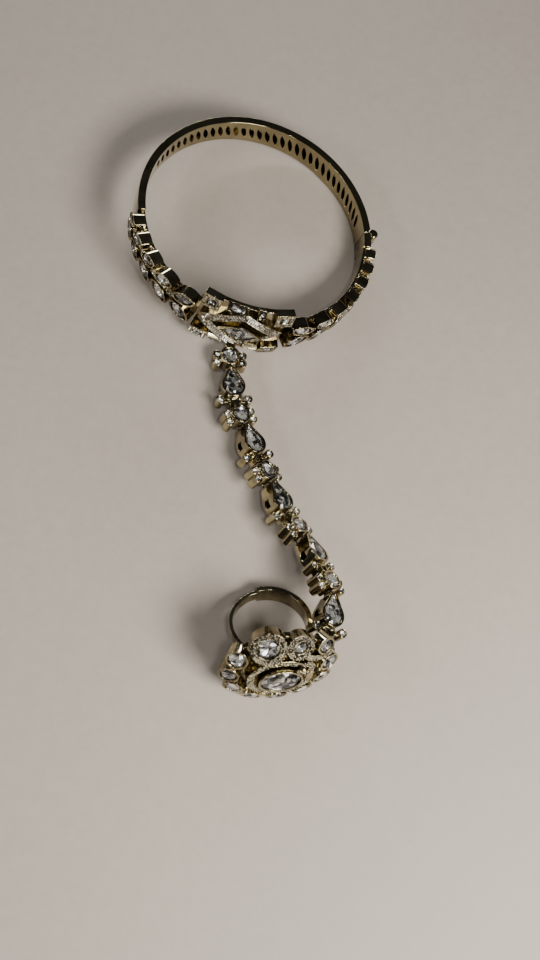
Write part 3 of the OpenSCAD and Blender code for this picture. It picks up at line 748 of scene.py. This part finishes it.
def domePlace(x, y):
    z = ringHead["top"] - (x * x + y * y) / (2 * ringHead["radius"])
    tilt = math.atan(math.hypot(x, y) / ringHead["radius"])
    spot = ringPlace @ Matrix.Translation(Vector((x, y, z)) * mm)
    return spot @ Matrix.Rotation(tilt, 4, Vector((-y, x, 0)))


def loopOf(place, width, height, steps, rise=0.0, arc=None):
    path = []
    start, end = arc or (0, 360)
    for i in range(steps):
        angle = math.radians(start + (end - start) * i / (steps - 1 if arc else steps))
        point = Vector((width * math.cos(angle), height * math.sin(angle), rise)) * mm
        path.append((place @ point, upOf(place)))
    return path, not arc


def ringPaths():
    oval, lobe = ringHead["oval"], ringHead["lobe"]
    place = ringPlace @ Matrix.Translation(Vector((0, oval["shift"], oval["rise"])) * mm)
    paths = []
    for inset in oval["insets"]:
        wide, high = oval["halfWide"] - inset, oval["halfHigh"] - inset
        paths.append(loopOf(place, wide, high, oval["steps"], arc=oval["arc"]))
    for x, y, share in lobe["places"]:
        place = domePlace(x * lobe["halfWide"], y * lobe["halfHigh"])
        for ring in lobe["rings"]:
            radius = share * lobe["halfHigh"] + ring
            paths.append(loopOf(place, radius, radius, lobe["steps"], lobe["rise"]))
    return paths


scroll = {
    "wide": 1.3,
    "deep": 2.4,
    "rows": (-0.32, 0.32),
    "curl": {"x": 5.5, "y": 2.1, "radius": 1.45, "arc": (-175, 115), "steps": 20},
    "wing": ((5.5, 5.6), (6.6, 4.9), (7.9, 4.4), (9.3, 4.05), (10.7, 4.15), (12.0, 4.7)),
}


# the curl over the oval and the wing under the two swirls, which only this script has
def scrollPaths(offset):
    curl = scroll["curl"]
    radius = curl["radius"] + offset
    bend = loopOf(domePlace(curl["x"], curl["y"]), radius, radius, curl["steps"], arc=curl["arc"])
    places = [domePlace(x, y - offset) for x, y in scroll["wing"]]
    return [bend, ([(place.translation, upOf(place)) for place in places], False)]


strips("ring_scroll", scrollPaths(0), scroll["wide"], scroll["deep"])
scrollRows = [path for row in scroll["rows"] for path in scrollPaths(row)]
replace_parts(paveRow("ring_pave_rows", ringPaths() + scrollRows), "ring_pave")
print("pave rows set")


# gold granules between the petals of the ring and on the tails of the pear links
granules = {
    "radius": 0.46,
    "rounds": 3,
    "spread": 1.15,
    "sink": 0.7,
    "droop": 0.3,
    "row": (-1.4, -0.7, 0.0, 0.7, 1.4),
    "back": 2.0,
    "zigzag": 0.35,
    "rise": 0.95,
    "petals": ((-0.72, 0.42), (-0.83, -0.03), (-0.74, -0.46), (-0.42, -0.76), (0.02, -0.83),
               (0.45, -0.72), (0.75, -0.4), (0.83, 0.06), (0.73, 0.54)),
}
# a beaded rim on the upper leaves, dropped on the metal from "lift" above the stones
beads = {"radius": 0.17, "rounds": 2, "pitch": 0.46, "out": 0.32, "sink": 0.03, "lift": 3, "drop": 6}
ballSizes = (0.8, 1.1)  # the least and the most, as a share of the radius


def ballTree():
    tree = PartsTree("balls", Radius=0.3 * mm, Rounds=2, Seed=0)
    ball = tree.add("GeometryNodeMeshIcoSphere", None,
                    {"Radius": tree.given["Radius"], "Subdivisions": tree.given["Rounds"]})
    ball = tree.add("GeometryNodeSetShadeSmooth", None, {"Geometry": ball})
    return tree.end(tree.copies(finishes["antique_gold"], Points=tree.given["Geometry"], Instance=ball,
                                Scale=tree.sizes(*ballSizes)))


ballNodes = ballTree()


def setBalls(name, points, look):
    mesh = bpy.data.meshes.new(name)
    mesh.from_pydata(points, [], [])
    made = ballNodes.run(makeObject(name, mesh), Radius=look["radius"] * mm, Rounds=look["rounds"])
    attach(made, "front")


def petalGranules():
    lobe = ringHead["lobe"]
    petals = [Vector((x * lobe["halfWide"], y * lobe["halfHigh"], 0)) for x, y in granules["petals"]]
    points = []
    for here, there in zip(petals, petals[1:]):
        middle = (here + there) / 2
        for step in (-1, 0, 1):
            spot = middle + middle.normalized() * step * granules["spread"]
            depth = -granules["sink"] - granules["droop"] * abs(step)
            points.append(domePlace(spot.x, spot.y) @ (Vector((0, 0, depth)) * mm))
    return points


def linkGranules():
    rings = weldedMesh("jump_rings")
    centres = [sum((vert.co for vert in group), Vector()) / len(group) for group in islands(rings)]
    rings.free()
    centres.sort(key=lambda centre: -centre.y)
    points = []
    for i in range(1, len(centres) - 1, 2):  # every second link is a pear
        stone = weldedMesh("pear_stone_%d" % (i // 2 + 1))
        stone.normal_update()
        up = outlineOf(sorted(stone.verts, key=lambda vert: vert.index))[2]
        stone.free()
        along = (centres[i + 1] - centres[i]).normalized()
        across = up.cross(along).normalized()
        for k, step in enumerate(granules["row"]):
            back = granules["back"] + granules["zigzag"] * (k % 2)
            points.append(centres[i + 1] - along * back * mm
                          + across * step * mm + up * granules["rise"] * mm)
    return points


def leafBeads():
    frameMetal = weldedMesh("front_frame")
    surface = BVHTree.FromBMesh(frameMetal)
    frameMetal.free()
    points = []
    for node in sorted(name for name in nodes if name.startswith("leaf_stones")):
        shape = weldedMesh(node)
        shape.normal_update()
        for group in islands(shape):
            rim, middle, up = outlineOf(group)[:3]
            if (bangleTurn.inverted() @ middle).z < 0:  # a lower leaf
                continue
            for here, there in zip(rim, rim[1:] + rim[:1]):
                count = max(1, round((there - here).length / (beads["pitch"] * mm)))
                for i in range(count):
                    point = here.lerp(there, i / count)
                    outward = (point - middle).normalized() * beads["out"] * mm
                    start = point + outward + up * beads["lift"] * mm
                    hit = surface.ray_cast(start, -up, beads["drop"] * mm)[0]
                    if hit:
                        points.append(hit - up * beads["sink"] * mm)
        shape.free()
    return points


setBalls("granules", petalGranules() + linkGranules(), granules)
setBalls("leaf_beads", leafBeads(), beads)
print("granules and beads set")


# a pale floor and soft light: the key from the right, a window behind, fill from the left
studio = {
    "lamps": {
        "key": {"place": (202, -234, 252), "size": (190, 110), "power": 2.8, "colour": (1, 0.97, 0.92)},
        "window": {"place": (-60, 420, 130), "size": (260, 30), "power": 1.0, "colour": (0.97, 0.98, 1)},
        "fill": {"place": (-300, -160, 220), "size": (200, 60), "power": 0.5, "colour": (1, 0.98, 0.96)},
        "glint": {"place": (30, -190, 420), "size": (50, 50), "power": 0.4, "colour": (1, 1, 1)},
    },
    "aim": (10, -90, 0),
    "sky": (0.9, 0.95, 1, 1),
    "skyPower": 0.035,
    "floorReach": 1500,
}


def makeStage():
    floor = cadBox[0][2]
    reach = studio["floorReach"] * mm
    mesh = bpy.data.meshes.new("table")
    ways = ((-1, -1), (1, -1), (1, 1), (-1, 1))
    mesh.from_pydata([(x * reach, y * reach, floor) for x, y in ways], [], [(0, 1, 2, 3)])
    makeObject("table", mesh, finishes["floor"])
    for name, look in studio["lamps"].items():
        lamp = bpy.data.lights.new(name, "AREA")
        lamp.shape = "RECTANGLE"
        lamp.size, lamp.size_y = (side * mm for side in look["size"])
        lamp.energy = look["power"]
        lamp.color = look["colour"]
        light = bpy.data.objects.new(name, lamp)
        light.location = Vector(look["place"]) * mm
        facing = Vector(studio["aim"]) * mm - light.location
        light.rotation_euler = facing.to_track_quat("-Z", "Y").to_euler()
        bpy.context.collection.objects.link(light)
    world = bpy.data.worlds.new("studio")
    world.use_nodes = True
    background = world.node_tree.nodes["Background"]
    background.inputs["Color"].default_value = studio["sky"]
    background.inputs["Strength"].default_value = studio["skyPower"]
    bpy.context.scene.world = world


makeStage()
print("stage and lights set")
